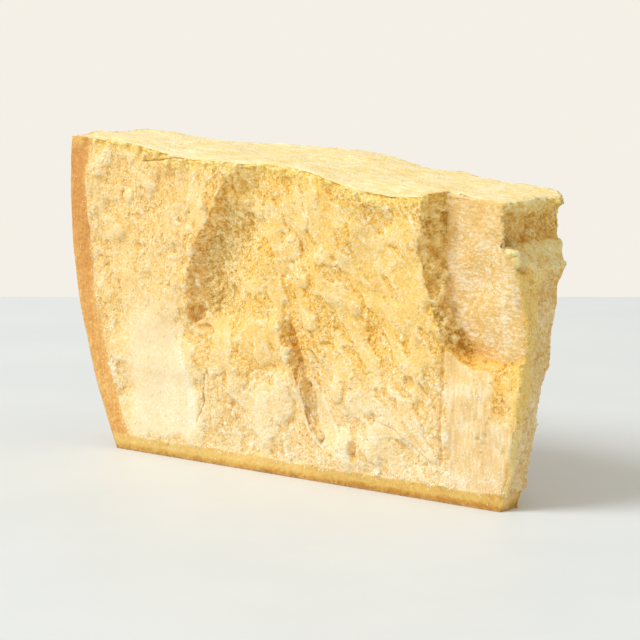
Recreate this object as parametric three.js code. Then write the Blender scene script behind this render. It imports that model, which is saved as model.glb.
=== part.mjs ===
// A piece broken from a large, hard, aged cheese wheel: one solid, cut level near the wheel's
// mid-height, with rind on its barrel-shaped outer wall and on its flat underside. The front, the back
// and the inner end are rough breaks. Millimetres, +Z up. The front break faces -Y, the outer wall -X.
import * as THREE from "three";
import { mergeVertices } from "three/addons/utils/BufferGeometryUtils.js";

const smooth = THREE.MathUtils.smoothstep;
const mix = THREE.MathUtils.lerp;
const hill = (distance, spread) => Math.exp(-((distance / spread) ** 2));

// A repeatable number from -1 to 1 for a whole-number grid point
function scatter(i, j, layer) {
  const turned = Math.sin(i * 127.1 + j * 311.7 + layer * 74.7) * 43758.5453;
  return 2 * (turned - Math.floor(turned)) - 1;
}

// Smooth bumps about one size apart, from -1 to 1
function bumps(a, b, size, layer) {
  const i = Math.floor(a / size);
  const j = Math.floor(b / size);
  const s = smooth(a / size - i, 0, 1);
  const t = smooth(b / size - j, 0, 1);
  const low = mix(scatter(i, j, layer), scatter(i + 1, j, layer), s);
  const high = mix(scatter(i, j + 1, layer), scatter(i + 1, j + 1, layer), s);
  return mix(low, high, t);
}

// Crags: bumps of three sizes on the long breaks, and a share of them on the end, the top and the rind
const cragSizes = [28, 13, 7];
const cragHeights = [1.6, 1.5, 1.1];
const endRoughness = 0.5;
const topRoughness = 0.4;
const rindRoughness = 0.15;

function crags(a, b, layer) {
  return cragSizes.reduce((sum, size, n) => sum + cragHeights[n] * bumps(a, b, size, layer + n), 0);
}

// The rims of scars wander to and fro as they rise
const wanderStep = 8;
const wanderReach = 1.6;
const wander = (z, layer) => wanderReach * bumps(z, 0, wanderStep, layer);

// The wheel that the piece came from
const wheelRadius = 217; // at the widest ring of its wall
const widestRingHeight = 99; // above its flat face, so the wheel was about 200 tall
const wallBowRadius = 206; // of the wall's upright profile
const rindThickness = { wall: 9, foot: 6 };

// The piece itself
const pieceLength = 210; // along the front break, from the outer wall to the inner end
const heightAtWall = 120;
const heightAtEnd = 107;

// Depth of the back break behind the front one, at the foot and from backLevel upwards
const backLine = [
  { x: 0, foot: 36, top: 37 },
  { x: 104, foot: 42, top: 53 },
  { x: 150, foot: 33, top: 49 },
  { x: 196, foot: 24, top: 46 },
  { x: 214, foot: 9.5, top: 33 },
];
const backLevel = 84;

// Scars that flakes left in the breaks. A scar has a steep wall along its rim, on the left, with a
// raised lip outside it. From the wall's foot, or from where its floor is lowest if that is further in,
// it comes forward again over its width.
const hollow = {
  rim: (z) => 64.2 + 0.0092 * Math.max(z - 62, 0) ** 2 + wander(z, 51),
  wall: 3.4,
  lowest: 13,
  width: 36,
  depth: 7,
  lip: 2.2,
  low: 50,
  lowFade: 8,
  high: 122,
  highFade: 40,
};
const fissure = {
  rim: (z) => 119.5 - 0.38 * (Math.min(z, 56) - 35) + wander(z, 52),
  wall: 2.4,
  width: 14,
  depth: 3.2,
  lip: 2.4,
  low: 13,
  lowFade: 8,
  high: 62,
  highFade: 10,
};
const scoop = {
  rim: (z) => 176 + 0.0105 * Math.min(Math.max(88 - z, 0), 36) ** 2 + wander(z, 53),
  wall: 3.4,
  depth: 8.2,
  depthAtEnd: 3.4,
  lip: 0.8,
  low: (x) => 48.4 + 0.027 * Math.min(Math.max(200 - x, 0), 14) ** 2 + 0.02 * Math.max(x - 204, 0) ** 2,
  ledge: 1.2, // height over which its floor comes out to the lower lip
};
const cutStep = {
  rim: (z) => 186.5 - 0.09 * z,
  wall: 4.5,
  width: 60,
  depth: 1.8,
  lip: 0.8,
  low: 6,
  lowFade: 8,
  high: 64,
  highFade: 14,
};
const backScars = [
  {
    rim: (z) => 52 - 0.2 * (z - 60),
    wall: 9,
    width: 36,
    depth: 4.5,
    lip: 1.2,
    low: 14,
    lowFade: 12,
    high: 112,
    highFade: 16,
  },
  {
    rim: (z) => 112 + 0.25 * (z - 80),
    wall: 10,
    width: 40,
    depth: 5.5,
    lip: 1.6,
    low: 40,
    lowFade: 14,
    high: 112,
    highFade: 18,
  },
  {
    rim: (z) => 146 - 0.15 * (z - 30),
    wall: 8,
    width: 30,
    depth: 3.5,
    lip: 1,
    low: 4,
    lowFade: 12,
    high: 62,
    highFade: 12,
  },
];
const lipSpread = 9;

// The inner end: it swells at mid-height, and under its top edge a bite runs down to a sloping ledge
const endSwell = { z: 54, spreadDown: 42, spreadUp: 30, out: 9, gone: 30 };
const endBite = {
  low: 83,
  floor: 91.5,
  roof: 97,
  high: 109,
  depth: 7.4,
  atFront: 0.2, // share of the depth at the front edge
  inFull: 8,
  back: { from: 16, to: 34, share: 0.85 },
};
const endLedge = { z: 82, spread: 6, out: 3.6, from: 2, to: 16 };
const endNub = { y: 5.5, z: 88, radius: 3.2, out: 3.2 };

// The top: worn low along the front edge in places, and humped over the deepest part
const topWear = [
  { x: 66, spread: 17, drop: 1.8 },
  { x: 92, spread: 8, drop: 1.2 },
  { x: 158, spread: 19, drop: 3.2 },
];
const wearReach = 9;
const topHump = { x: 108, y: 46, spread: 30, rise: 1.7 };

// Mesh lines. Columns follow the rims of the front scars and rows the scoop's lower lip, so that their
// steep walls stay crisp; between those lines the cells are even.
const columnLines = [
  [0, ({ wall }) => wall],
  [16, ({ z }) => hollow.rim(z)],
  [17, ({ z }) => hollow.rim(z) + hollow.wall],
  [28, ({ z }) => fissure.rim(z)],
  [29, ({ z }) => fissure.rim(z) + fissure.wall],
  [43, ({ z }) => scoop.rim(z)],
  [44, ({ z }) => scoop.rim(z) + scoop.wall],
  [53, ({ end }) => end],
];
const rowLines = [
  [0, () => 0],
  [13, ({ x }) => scoop.low(x)],
  [14, ({ x }) => scoop.low(x) + scoop.ledge],
  [23, () => endBite.low],
  [25, () => endBite.floor],
  [32, ({ top }) => top],
];
const cells = { along: 53, across: 10, up: 32 };
const settlePasses = 6;

// Place of a mesh line, even between the lines that are given
function linePlace(lines, line, faces) {
  const next = lines.findIndex(([number]) => number >= line && number > 0);
  const [from, low] = lines[next - 1];
  const [to, high] = lines[next];
  return mix(low(faces), high(faces), (line - from) / (to - from));
}

// Behind the rim a scar sinks, and before it the lip stands up
function scarDepth(scar, x, z) {
  const past = x - scar.rim(z);
  const lowest = scar.lowest ?? scar.wall;
  const inward = (smooth(past, 0, scar.wall) + smooth(past, 0, lowest)) / 2;
  const sunk = inward * (1 - smooth(past, lowest, scar.width));
  const raised = hill(Math.min(past, 0), lipSpread) * (1 - smooth(past, 0, scar.wall));
  const started = smooth(z, scar.low, scar.low + scar.lowFade);
  const running = 1 - smooth(z, scar.high - scar.highFade, scar.high);
  return (scar.depth * sunk - scar.lip * raised) * started * running;
}

// The scoop is open to the top and to the inner end
function scoopDepth(x, z) {
  const past = x - scoop.rim(z);
  const floor = mix(scoop.depth, scoop.depthAtEnd, smooth(past, scoop.wall, pieceLength - scoop.rim(z)));
  const raised = hill(Math.min(past, 0), lipSpread) * (1 - smooth(past, 0, scoop.wall));
  const above = smooth(z, scoop.low(x), scoop.low(x) + scoop.ledge);
  return (floor * smooth(past, 0, scoop.wall) - scoop.lip * raised) * above;
}

// How far the wheel's wall has drawn in at a height, measured outwards from its axis
function wallRadius(z) {
  return wheelRadius - (widestRingHeight - z) ** 2 / (2 * wallBowRadius);
}

// The barrel-shaped outer wall is a ring round the wheel's axis
function wallX(y, z) {
  return wheelRadius - Math.sqrt(wallRadius(z) ** 2 - y ** 2) + rindRoughness * crags(y, z, 21);
}

// The breaks are rough in the paste and smooth across the rind
function breakCrags(x, z, layer) {
  const inFromWall = x - (wheelRadius - wallRadius(z));
  const paste = smooth(inFromWall, 0.4 * rindThickness.wall, 1.4 * rindThickness.wall);
  return crags(x, z, layer) * paste * smooth(z, 0.4 * rindThickness.foot, 1.8 * rindThickness.foot);
}

// Depth of the front break behind its flat plane
function frontY(x, z) {
  const scars = [hollow, fissure, cutStep].reduce((sum, scar) => sum + scarDepth(scar, x, z), 0);
  return scars + scoopDepth(x, z) + breakCrags(x, z, 1);
}

function backY(x, z) {
  const found = backLine.findIndex((station) => station.x > x);
  const next = found < 0 ? backLine.length - 1 : Math.max(found, 1);
  const [from, to] = [backLine[next - 1], backLine[next]];
  const share = smooth(x, from.x, to.x);
  const depth = mix(mix(from.foot, to.foot, share), mix(from.top, to.top, share), Math.min(z / backLevel, 1));
  const scars = backScars.reduce((sum, scar) => sum + scarDepth(scar, x, z), 0);
  return depth - scars + breakCrags(x, z, 11);
}

function endX(y, z) {
  const spread = z < endSwell.z ? endSwell.spreadDown : endSwell.spreadUp;
  const swell = endSwell.out * hill(z - endSwell.z, spread) * (1 - 0.75 * smooth(y, 0, endSwell.gone));
  const onLedge = Math.min(Math.max((z - endBite.low) / (endBite.floor - endBite.low), 0), 1);
  const biteHeight = onLedge * (1 - smooth(z, endBite.roof, endBite.high));
  const fromFront = mix(endBite.atFront, 1, smooth(y, 0, endBite.inFull));
  const towardsBack = mix(1, endBite.back.share, smooth(y, endBite.back.from, endBite.back.to));
  const bite = endBite.depth * biteHeight * fromFront * towardsBack;
  const ledgeOut = endLedge.out * smooth(y, endLedge.from, endLedge.to);
  const ledge = ledgeOut * hill(z - endLedge.z, endLedge.spread);
  const nub = endNub.out * hill(Math.hypot(y - endNub.y, z - endNub.z), endNub.radius);
  return pieceLength + swell - bite + ledge + nub + endRoughness * crags(y, z, 31);
}

function topZ(x, y) {
  const level = mix(heightAtWall, heightAtEnd, x / pieceLength);
  const nearFront = 1 - smooth(y, 0, wearReach);
  const worn = topWear.reduce((sum, wear) => sum + wear.drop * hill(x - wear.x, wear.spread), 0);
  const hump = topHump.rise * hill(Math.hypot(x - topHump.x, y - topHump.y), topHump.spread);
  return level - worn * nearFront + hump + topRoughness * crags(x, y, 41);
}

// Carries a crossing of mesh lines to its place. Each face bends with the other two, so the place is
// found by a few rounds of substitution.
function place(column, layer, row) {
  let x = (column / cells.along) * pieceLength;
  let y = 0;
  let z = 0;
  for (let pass = 0; pass < settlePasses; pass += 1) {
    z = linePlace(rowLines, row, { x, top: topZ(x, y) });
    x = linePlace(columnLines, column, { z, wall: wallX(y, z), end: endX(y, z) });
    y = mix(frontY(x, z), backY(x, z), layer / cells.across);
  }
  return [x, y, z];
}

function wedgeGeometry() {
  const { along, across, up } = cells;
  const block = new THREE.BoxGeometry(along, across, up, along, across, up);
  block.deleteAttribute("normal");
  block.deleteAttribute("uv");
  const geometry = mergeVertices(block);
  geometry.translate(along / 2, across / 2, up / 2);
  const position = geometry.getAttribute("position");
  for (let n = 0; n < position.count; n += 1) {
    const lines = [position.getX(n), position.getY(n), position.getZ(n)].map(Math.round);
    position.setXYZ(n, ...place(...lines));
  }
  geometry.computeBoundingBox();
  const { min, max } = geometry.boundingBox;
  geometry.translate(-(min.x + max.x) / 2, -(min.y + max.y) / 2, -min.z);
  geometry.computeVertexNormals();
  return geometry;
}

const paste = new THREE.MeshStandardMaterial({ color: 0xe8c779, roughness: 0.72, metalness: 0 });

const wedge = new THREE.Mesh(wedgeGeometry(), paste);
wedge.name = "wedge";

const piece = new THREE.Group();
piece.add(wedge);

export default piece;
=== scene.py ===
import math
import bpy
import numpy as np
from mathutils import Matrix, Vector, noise


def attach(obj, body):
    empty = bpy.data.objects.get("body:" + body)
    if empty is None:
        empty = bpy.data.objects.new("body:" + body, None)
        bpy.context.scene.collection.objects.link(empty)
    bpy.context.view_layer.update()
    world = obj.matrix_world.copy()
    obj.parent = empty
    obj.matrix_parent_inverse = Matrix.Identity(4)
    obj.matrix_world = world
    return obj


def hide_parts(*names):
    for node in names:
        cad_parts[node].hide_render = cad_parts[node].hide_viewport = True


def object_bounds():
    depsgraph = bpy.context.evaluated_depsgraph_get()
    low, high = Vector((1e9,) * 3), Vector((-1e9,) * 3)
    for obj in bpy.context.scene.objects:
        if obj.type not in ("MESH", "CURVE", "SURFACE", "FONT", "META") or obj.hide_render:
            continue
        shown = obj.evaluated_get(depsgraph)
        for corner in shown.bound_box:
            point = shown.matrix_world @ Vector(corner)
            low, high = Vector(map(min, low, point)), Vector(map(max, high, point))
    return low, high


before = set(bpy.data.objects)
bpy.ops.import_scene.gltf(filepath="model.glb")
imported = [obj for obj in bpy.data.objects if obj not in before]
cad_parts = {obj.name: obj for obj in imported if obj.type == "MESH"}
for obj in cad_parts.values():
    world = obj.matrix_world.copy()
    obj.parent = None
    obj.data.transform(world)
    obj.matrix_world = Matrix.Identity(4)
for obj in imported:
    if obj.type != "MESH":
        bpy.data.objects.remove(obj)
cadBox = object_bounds()
noise.seed_set(5)  # the same relief in every run

# Places are in mm from the corner where the rind wall meets the front break:
# x along the front break towards the wheel's middle, y back from the front break, z up.
mm = 0.001
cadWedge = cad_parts["wedge"]
cadPoints = np.array([v.co for v in cadWedge.data.vertices]) / mm
corner = np.array([cadPoints[:, 0].min(), cadPoints[cadPoints[:, 2] < 0.01][:, 1].min(), 0.0])
boxLow, boxHigh = (np.array(c) / mm - corner for c in cadBox)


def fromCorner(place):
    return tuple((corner + np.array(place)) * mm)


# Camera, at the photo's viewing angle

photoView = {
    "place": (831.6, -802.6, 209.3),
    "turn": 41.23,        # degrees to the left of straight at the front break
    "tilt": 8.0,          # degrees down
    "lens": 168.75,
    "sensor": 36.0,
    "floorEdge": 1577.0,  # mm from the camera to the floor's far edge, measured level
}

turn = math.radians(photoView["turn"])
lookLevel = np.array([-math.sin(turn), math.cos(turn), 0.0])
bpy.ops.object.camera_add(
    location=fromCorner(photoView["place"]),
    rotation=(math.radians(90 - photoView["tilt"]), 0, turn),
)
camera = bpy.context.object
camera.name = "photoCamera"
camera.data.lens = photoView["lens"]
camera.data.sensor_width = photoView["sensor"]
camera.data.clip_start = 0.05
camera.data.clip_end = 30
bpy.context.scene.camera = camera
print("camera ready")


# Helpers for numbers

def colour(red, green, blue):
    # Screen values from 0 to 255, as a linear colour
    def linear(value):
        value = value / 255
        return value / 12.92 if value <= 0.04045 else ((value + 0.055) / 1.055) ** 2.4
    return (linear(red), linear(green), linear(blue), 1.0)


def smooth(value, low, high):
    share = np.clip((value - low) / (high - low), 0, 1)
    return share * share * (3 - 2 * share)


def mix(a, b, share):
    return a + (b - a) * share


# Helpers for nodes

def addNode(tree, kind, inputs=None, **settings):
    node = tree.nodes.new(kind)
    for name, value in settings.items():
        setattr(node, name, value)
    for socket, value in (inputs or {}).items():
        if isinstance(value, bpy.types.NodeSocket):
            tree.links.new(value, node.inputs[socket])
        else:
            node.inputs[socket].default_value = value
    return node


def calc(tree, operation, a, b=0.0, c=0.0, clamp=False):
    inputs = {0: a, 1: b, 2: c}
    return addNode(tree, "ShaderNodeMath", inputs, operation=operation, use_clamp=clamp).outputs[0]


def times(tree, a, b):
    return calc(tree, "MULTIPLY", a, b)


def add(tree, *values):
    total = values[0]
    for value in values[1:]:
        total = calc(tree, "ADD", total, value)
    return total


def scaled(tree, value, middle, factor):
    # How far the value is from its middle, times a factor
    return calc(tree, "MULTIPLY_ADD", value, factor, -middle * factor)


def step(tree, value, low, high, start=0.0, end=1.0):
    inputs = {0: value, 1: low, 2: high, 3: start, 4: end}
    return addNode(tree, "ShaderNodeMapRange", inputs, interpolation_type="SMOOTHSTEP").outputs[0]


def blendColours(tree, share, a, b):
    return addNode(tree, "ShaderNodeMix", {0: share, 6: a, 7: b}, data_type="RGBA").outputs[2]


def grainNoise(tree, place, size, detail=3.0, roughness=0.55, stretch=(1, 1, 1)):
    # Noise with spots about one size across, in mm
    spread = addNode(tree, "ShaderNodeMapping", {0: place, 3: [1 / (mm * size * s) for s in stretch]})
    inputs = {"Vector": spread.outputs[0], "Scale": 1.0, "Detail": detail, "Roughness": roughness}
    return addNode(tree, "ShaderNodeTexNoise", inputs).outputs[0]


def cellNode(tree, place, size):
    # Cells about one size across, in mm
    return addNode(tree, "ShaderNodeTexVoronoi", {"Vector": place, "Scale": 1 / (mm * size)})


def cellTone(tree, place, size):
    # Each cell's own value from 0 to 1
    shade = cellNode(tree, place, size).outputs["Color"]
    return addNode(tree, "ShaderNodeSeparateColor", {0: shade}).outputs[0]


def vectors(tree, operation, a, b=(0, 0, 0)):
    return addNode(tree, "ShaderNodeVectorMath", {0: a, 1: b}, operation=operation)


def resized(tree, vector, factor):
    inputs = {0: vector, "Scale": factor}
    return addNode(tree, "ShaderNodeVectorMath", inputs, operation="SCALE").outputs[0]


def ramp(tree, value, stops):
    node = addNode(tree, "ShaderNodeValToRGB", {0: value})
    points = node.color_ramp.elements
    while len(points) < len(stops):
        points.new(0.5)
    for point, (place, shade) in zip(points, stops):
        point.position = place
        point.color = shade
    return node.outputs[0]


def attribute(tree, name):
    return addNode(tree, "ShaderNodeAttribute", attribute_name=name).outputs["Fac"]


def blendValues(tree, share, a, b):
    return addNode(tree, "ShaderNodeMix", {0: share, 2: a, 3: b}, data_type="FLOAT").outputs[0]


def most(tree, *values):
    highest = values[0]
    for value in values[1:]:
        highest = calc(tree, "MAXIMUM", highest, value)
    return highest


# Floor and light

studio = {
    "floorSize": 6.0,
    "floorColour": colour(222, 229, 233),
    "backdrop": colour(244, 240, 231),
    "fillColour": (1.0, 0.948, 0.86, 1.0),
    "fill": 0.63,
    "keyPlace": (-2000.0, -3300.0, 4600.0),
    "keyAim": (105.0, 20.0, 50.0),
    "keySize": 3.5,
    "keyPower": 252.0,
    "keyColour": (1.0, 0.99, 0.965),
}


def makeFloor():
    farEdge = np.array(photoView["place"]) * (1, 1, 0) + lookLevel * photoView["floorEdge"]
    middle = farEdge - lookLevel * studio["floorSize"] / mm / 2
    bpy.ops.mesh.primitive_plane_add(
        size=studio["floorSize"], location=fromCorner(middle), rotation=(0, 0, turn)
    )
    floor = bpy.context.object
    floor.name = "floor"
    bpy.ops.object.transform_apply(location=True, rotation=True, scale=True)
    material = bpy.data.materials.new("pale floor")
    material.use_nodes = True
    tree = material.node_tree
    surface = tree.nodes["Principled BSDF"]
    place = addNode(tree, "ShaderNodeTexCoord").outputs["Object"]
    cloud = grainNoise(tree, place, 90, 4)
    paler = colour(226, 232, 236)
    shade = blendColours(tree, step(tree, cloud, 0.35, 0.7), studio["floorColour"], paler)
    tree.links.new(shade, surface.inputs["Base Color"])
    surface.inputs["Roughness"].default_value = 0.5
    surface.inputs["Specular IOR Level"].default_value = 0.3
    floor.data.materials.append(material)


def makeLight():
    world = bpy.data.worlds.new("studio")
    world.use_nodes = True
    tree = world.node_tree
    fill = tree.nodes["Background"]
    fill.inputs["Color"].default_value = studio["fillColour"]
    fill.inputs["Strength"].default_value = studio["fill"]
    seen = addNode(tree, "ShaderNodeBackground", {"Color": studio["backdrop"], "Strength": 1.0})
    ray = addNode(tree, "ShaderNodeLightPath").outputs["Is Camera Ray"]
    both = addNode(tree, "ShaderNodeMixShader", {0: ray, 1: fill.outputs[0], 2: seen.outputs[0]})
    tree.links.new(both.outputs[0], tree.nodes["World Output"].inputs[0])
    bpy.context.scene.world = world
    bpy.ops.object.light_add(type="AREA", location=fromCorner(studio["keyPlace"]))
    key = bpy.context.object
    key.name = "keyLight"
    key.data.shape = "DISK"
    key.data.size = studio["keySize"]
    key.data.energy = studio["keyPower"]
    key.data.color = studio["keyColour"]
    aim = np.array(studio["keyAim"]) - np.array(studio["keyPlace"])
    flat = math.hypot(aim[0], aim[1])
    key.rotation_euler = (math.atan2(flat, -aim[2]), 0, math.atan2(-aim[0], aim[1]))


makeFloor()
makeLight()
bpy.context.scene.view_settings.view_transform = "Standard"
bpy.context.scene.view_settings.look = "None"
print("floor and light ready")


# The cheese: a fine copy of the solid, with crumbly relief

cheese = {
    "levels": 3,
    "sharp": 48.0,        # degrees between faces at an edge that stays crisp
    "crease": 0.8,
    "triangles": 196000,
    "wheelRadius": 217.0,
    "widestRing": 99.0,
    "bowRadius": 206.0,
    "wallRind": 9.6,
    "footRind": 6.0,
    "step": 0.6,          # mm that the smooth plateaus stand above the grainy parts
    "bigFlake": (6.0, 0.36, 0.4),     # size, then height in the grainy parts and on the plateaus
    "smallFlake": (2.8, 0.4, 0.12),
    "bigGrain": (2.1, 0.3, 0.05),
    "fineGrain": (1.25, 0.28, 0.07),
    "inward": 0.3,        # keeps the raised grains within the solid's size
    "margin": 0.05,       # least distance to the solid's bounding box
    "ridge": 0.07,        # height over its neighbours that makes a point a full ridge
    "flatFoot": 0.6,      # height up to which the underside stays flat
    "cornerRadius": 2.2,  # the upright corner between the front break and the end
    "topRadius": 2.0,     # the front break's top edge
    "endRadius": 2.4,     # the end's top edge
}

# Smooth lumps on the front break: x, z, half width, half height, how far out
lumps = [
    (143.9, 64.4, 3.2, 3.0, 1.5),
    (172.5, 47.9, 3.6, 3.3, 0.5),
    (113.4, 84.2, 4.4, 5.4, 1.1),
    (125.4, 102.8, 2.6, 5.5, 1.0),
    (119.2, 72.3, 3.4, 3.0, 0.9),
    (107.7, 57.2, 3.6, 5.0, 1.3),
    (123.5, 57.8, 4.2, 3.4, 1.0),
    (102.0, 97.2, 3.0, 4.0, 0.8),
    (93.8, 95.6, 4.0, 2.6, 0.9),
    (118.3, 94.0, 4.6, 3.2, 0.7),
    (128.8, 82.5, 3.0, 3.4, 0.8),
    (155.0, 88.5, 3.0, 3.0, 0.7),
    (156.4, 82.0, 2.4, 2.0, 0.7),
    (163.2, 92.6, 6.5, 4.4, 0.6),
    (114.1, 45.6, 2.2, 3.6, 1.2),
    (109.8, 29.3, 4.8, 11.5, 0.9),
    (136.4, 35.1, 3.6, 5.0, 0.8),
    (147.7, 30.9, 7.0, 6.0, 0.7),
    (140.2, 16.6, 5.0, 5.0, 0.9),
    (30.1, 98.0, 3.0, 3.0, 0.8),
    (43.4, 102.7, 3.6, 3.2, 0.9),
    (26.2, 83.7, 3.4, 3.0, 0.7),
    (70.2, 96.9, 2.4, 2.4, 0.6),
    (65.5, 80.2, 2.0, 2.6, 0.7),
    (191.5, 30.5, 2.4, 2.2, 0.25),
    (194.2, 20.0, 3.0, 3.2, 0.35),
]

# Pits in the front break: x, z, half width, half height, how far in
pits = [
    (170.7, 41.3, 2.6, 2.8, 2.0),
    (199.5, 24.1, 1.2, 0.9, 0.8),
    (203.0, 25.4, 0.9, 1.3, 0.8),
    (66.3, 56.6, 2.6, 3.8, 1.8),
    (70.4, 51.3, 3.2, 1.4, 1.3),
    (85.0, 24.0, 1.4, 1.6, 0.9),
    (36.6, 78.9, 3.4, 1.8, 1.1),
    (144.5, 13.1, 1.5, 4.2, 1.9),
    (130.7, 50.5, 3.0, 1.4, 1.0),
    (198.5, 31.0, 0.9, 1.3, 0.5),
    (201.7, 22.6, 1.0, 0.8, 0.5),
    (210.4, 20.2, 0.9, 1.6, 0.6),
    (204.2, 29.9, 0.8, 0.8, 0.5),
]

# Chalky spots on the front break: x, z, half width, half height
chalkSpots = [
    (185.2, 37.2, 2.0, 3.2),
    (186.0, 24.0, 1.2, 2.4),
    (200.7, 38.9, 1.4, 2.2),
    (202.1, 24.4, 1.5, 2.8),
    (192.0, 18.9, 2.6, 3.2),
    (195.2, 11.2, 5.0, 2.4),
    (204.5, 14.8, 2.2, 2.6),
    (186.4, 10.6, 2.4, 1.8),
    (21.5, 30.0, 1.6, 5.0),
    (140.0, 12.0, 3.0, 1.8),
    (157.0, 10.5, 3.6, 1.6),
    (96.0, 10.0, 5.0, 1.6),
]

# An amber patch beside the smooth part: x, z, half width, half height
amberPatch = (208.6, 38.5, 3.4, 9.5)

# On the end: y, z, half width, half height, how far out or in
endKnobs = [(5.6, 88.2, 3.4, 3.2, 2.5), (8.6, 86.0, 2.7, 2.3, 1.5)]
endCavity = (8.6, 83.8, 1.8, 1.6, 1.0)
endSpot = (11.4, 79.2, 1.6, 1.6, 0.2)
biteCorner = (9.0, 92.4, 5.0, 2.4, 1.0)

# Cracks in the front break: their points in x and z, width, depth and how dark the painted shade along
# them is
fissure = [
    (112.9, 56.8), (113.8, 53.6), (115.3, 49.0), (118.7, 43.1),
    (120.1, 34.8), (121.5, 27.0), (124.9, 18.1),
]
cracks = [
    ([(39.8, 111.5), (44.5, 112.0), (47.7, 112.3), (53.9, 113.4)], 0.36, 0.5, 0.8),
    ([(53.9, 113.4), (62.2, 113.9), (69.3, 114.1), (77.5, 115.7)], 0.3, 0.3, 0.6),
    ([(152.0, 26.3), (163.5, 23.7), (179.5, 13.9)], 0.3, 0.3, 0.35),
    ([(175.3, 41.4), (178.5, 36.8)], 0.45, 0.4, 0.4),
    ([(71.8, 33.4), (70.7, 21.9), (66.5, 15.0)], 0.4, 0.5, 0.4),
    (fissure, 0.45, 0.8, 0.5),
    ([(184.3, 54.0), (184.0, 40.0), (183.9, 26.0), (184.2, 14.0)], 1.0, 0.5, 0.22),
    ([(212.4, 8.0), (212.9, 0.0)], 0.5, 0.8, 0.7),
    ([(70.4, 52.4), (75.0, 50.2)], 0.5, 0.6, 0.6),
]


def wallRadius(z):
    return cheese["wheelRadius"] - (cheese["widestRing"] - z) ** 2 / (2 * cheese["bowRadius"])


def wallDepth(points):
    fromAxis = np.hypot(points[:, 0] - cheese["wheelRadius"], points[:, 1])
    return wallRadius(points[:, 2]) - fromAxis


# The scoop: an upright rim that sweeps to the right further down, and a lower lip
scoop = {
    "rim": 176,           # x
    "sweepFrom": 88,      # z under which the rim sweeps away
    "sweepHeight": 36,
    "sweepRate": 0.0105,
    "lip": 48.4,          # z
    "lipLevel": (200, 204),       # the lip is level between these x and rises beside them
    "lipReach": 14,
    "lipRates": (0.027, 0.02),
    "cutRim": (188.5, 0.09),      # x of the smooth part under it, and how far that leans
}

# The top's front edge: its height at the rind wall, its fall, and worn dips as middle, width, depth
topLine = {"height": 120, "fall": 0.062, "dips": [(66, 17, 1.8), (158, 19, 3.2)]}


def lineAt(value, middle, width):
    # 1 at the middle, fading away on both sides
    return np.exp(-((value - middle) / width) ** 2)


def scoopRim(z):
    sweep = np.clip(scoop["sweepFrom"] - z, 0, scoop["sweepHeight"])
    return scoop["rim"] + scoop["sweepRate"] * sweep ** 2


def scoopLow(x):
    left, right = scoop["lipLevel"]
    leftRate, rightRate = scoop["lipRates"]
    rise = leftRate * np.clip(left - x, 0, scoop["lipReach"]) ** 2
    return scoop["lip"] + rise + rightRate * np.clip(x - right, 0, None) ** 2


def topEdge(x):
    # Height of the top along the front break
    worn = sum(depth * lineAt(x, middle, width) for middle, width, depth in topLine["dips"])
    return topLine["height"] - topLine["fall"] * x - worn


def noiseAt(points, size, octaves=1, layer=0, stretch=(1, 1, 1)):
    places = points / (size * np.array(stretch)) + 17.3 * layer
    return np.array([noise.fractal(p, 1.0, 2.0, octaves) for p in places.tolist()])


def driftAt(points, size):
    return np.array([noise.noise_vector(p) for p in (points / size).tolist()])


def scatter(seeds, layer):
    # A repeatable number from -1 to 1 for each seed
    turned = np.sin(np.round(seeds, 3) @ (127.1, 311.7, 74.7) + 9.7 * layer) * 43758.5453
    return 2 * (turned - np.floor(turned)) - 1


def cellsAt(points, size, layer):
    places = points / size + 31.7 * layer
    cells = [noise.voronoi(p) for p in places.tolist()]
    near = np.array([c[0][:2] for c in cells])
    seeds = np.array([(c[1][0][:], c[1][1][:]) for c in cells])
    return places, near, seeds


def flakes(points, size, layer):
    # Flakes about one size across, each with its own height and slope, about -1 to 1
    places, near, seeds = cellsAt(points, size, layer)
    heights = []
    for k in (0, 1):
        seed = seeds[:, k]
        slope = np.stack([scatter(seed, layer + n) for n in (2, 3, 4)], axis=1)
        heights.append(0.6 * scatter(seed, layer) + 0.8 * ((places - seed) * slope).sum(axis=1))
    own = smooth(near[:, 1] - near[:, 0], 0, 0.16)
    return mix((heights[0] + heights[1]) / 2, heights[0], own)


def grains(points, size, layer):
    # Round grains about one size apart, each with its own height, -0.5 to 0.5
    near, seeds = cellsAt(points, size, layer)[1:]
    own = 0.72 + 0.28 * scatter(seeds[:, 0], layer)
    return own * np.sqrt(np.clip(1 - (near[:, 0] / 0.72) ** 2, 0, 1)) - 0.5


def within(share, kind, points, size, layer):
    # Relief of one kind where the share isn't zero
    lift = np.zeros(len(points))
    near = share > 0.01
    lift[near] = kind(points[near], size, layer) * share[near]
    return lift


def readArray(items, name, width=3, kind=np.float32):
    values = np.empty(len(items) * width, kind)
    items.foreach_get(name, values)
    return values.reshape(-1, width) if width > 1 else values


def readMesh(mesh):
    places = readArray(mesh.vertices, "co").astype(float) / mm - corner
    return places, readArray(mesh.vertex_normals, "vector").astype(float)


def store(mesh, name, values):
    layer = mesh.attributes.new(name, "FLOAT", "POINT")
    layer.data.foreach_set("value", values.astype(np.float32))


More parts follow.
